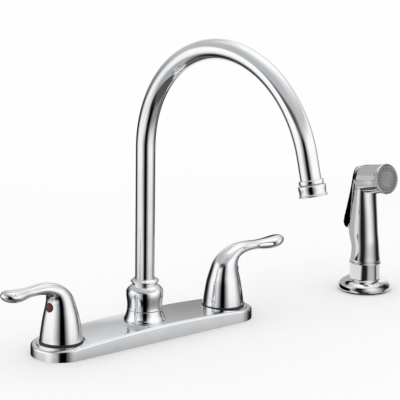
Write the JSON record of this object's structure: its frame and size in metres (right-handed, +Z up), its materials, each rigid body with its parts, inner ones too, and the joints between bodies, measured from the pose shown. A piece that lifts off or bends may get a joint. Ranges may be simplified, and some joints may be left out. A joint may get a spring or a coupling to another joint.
{
  "type": "two handle kitchen faucet",
  "caption": "Chrome deck-mounted kitchen faucet with a swivelling gooseneck spout, lever handles at either side of a long cover plate, and a separate side spray in its own holder.",
  "frame": {"origin": "on the sink deck's top surface, at the middle of the centre hole, on the spout's swivel axis", "axes": "+Z up along the spout's riser; +X towards the cold handle (the user's right); -Y towards the user, where the spout points, 3.25 degrees to the right at rest as in the picture"},
  "size_m": [0.4927, 0.2687, 0.3621],
  "materials": {
    "chrome": "polished chrome plate",
    "brass": "machined brass",
    "copper": "drawn copper tube",
    "steel": "plain stainless steel",
    "plastic_black": "satin black plastic",
    "plastic_white": "white plastic",
    "plastic_grey": "satin grey plastic",
    "rubber_black": "black rubber",
    "ceramic": "lapped ceramic",
    "index_red": "dark red plastic",
    "index_blue": "blue plastic"
  },
  "bodies": {
    "faucet_body": {"deck_plate": "chrome", "base_gasket": "rubber_black", "spout_body": "brass", "crossover_tube_hot": "copper", "crossover_tube_cold": "copper", "spout_base_ring": "chrome", "spout_nut": "chrome", "spout_glide_ring": "plastic_white", "valve_body_hot": "brass", "seat_seal_hot": "rubber_black", "fixed_disc_hot": "ceramic", "cartridge_body_hot": "brass", "seat_ring_hot": "plastic_black", "plate_nut_hot": "brass", "deck_washer_hot": "steel", "deck_nut_hot": "brass", "valve_body_cold": "brass", "seat_seal_cold": "rubber_black", "fixed_disc_cold": "ceramic", "cartridge_body_cold": "brass", "seat_ring_cold": "plastic_black", "plate_nut_cold": "brass", "deck_washer_cold": "steel", "deck_nut_cold": "brass", "spray_holder": "chrome", "holder_shank": "plastic_black", "holder_gasket": "rubber_black", "holder_nut": "plastic_white"},
    "spout": {"spout_tube": "chrome", "spout_spigot": "brass", "spigot_o_ring_lower": "rubber_black", "spigot_o_ring_upper": "rubber_black", "spout_collar": "chrome", "aerator_housing": "chrome", "aerator_washer": "rubber_black", "aerator_insert": "plastic_grey"},
    "hot_handle": {"handle_hot": "chrome", "handle_screw_hot": "steel", "index_button_hot": "index_red", "valve_stem_hot": "brass", "moving_disc_hot": "ceramic", "stem_o_ring_hot": "rubber_black"},
    "cold_handle": {"handle_cold": "chrome", "handle_screw_cold": "steel", "index_button_cold": "index_blue", "valve_stem_cold": "brass", "moving_disc_cold": "ceramic", "stem_o_ring_cold": "rubber_black"},
    "diverter": {"diverter_valve": "plastic_white"},
    "sprayer": {"spray_body": "chrome", "spray_rim": "chrome", "spray_face": "plastic_grey", "spray_center_disc": "plastic_grey", "spray_hose_nipple": "brass", "trigger_pin": "steel", "valve_spring": "steel"},
    "trigger": {"spray_trigger": "chrome"},
    "spray_valve": {"spray_plunger": "steel"}
  },
  "joints": [
    {"name": "spout_swivel", "type": "hinge", "parent": "faucet_body", "child": "spout", "pos_m": [0, 0, 0.032], "axis": [0, 0, 1], "continuous": true},
    {"name": "hot_valve_turn", "type": "hinge", "parent": "faucet_body", "child": "hot_handle", "pos_m": [-0.1016, 0, 0.03], "axis": [0, 0, 1], "range_deg": [0, 90]},
    {"name": "cold_valve_turn", "type": "hinge", "parent": "faucet_body", "child": "cold_handle", "pos_m": [0.1016, 0, 0.03], "axis": [0, 0, -1], "range_deg": [0, 90]},
    {"name": "diverter_lift", "type": "slide", "parent": "faucet_body", "child": "diverter", "axis": [0, 0, 1], "range_m": [0, 0.002]},
    {"name": "sprayer_lift", "type": "slide", "parent": "faucet_body", "child": "sprayer", "axis": [0, 0, 1], "range_m": [0, 0.12]},
    {"name": "trigger_press", "type": "hinge", "parent": "sprayer", "child": "trigger", "pos_m": [0.288, -0.0058, 0.1265], "axis": [-1, 0, 0], "range_deg": [0, 5], "stiffness_Nm_per_rad": 0.4, "springref_deg": -2.86},
    {"name": "spray_valve_slide", "type": "slide", "parent": "sprayer", "child": "spray_valve", "axis": [0, -1, 0], "range_m": [0, 0.0024]}
  ],
  "couplings": [
    {"joint": "spray_valve_slide", "follows": "trigger_press", "m_per_rad": 0.027}
  ]
}
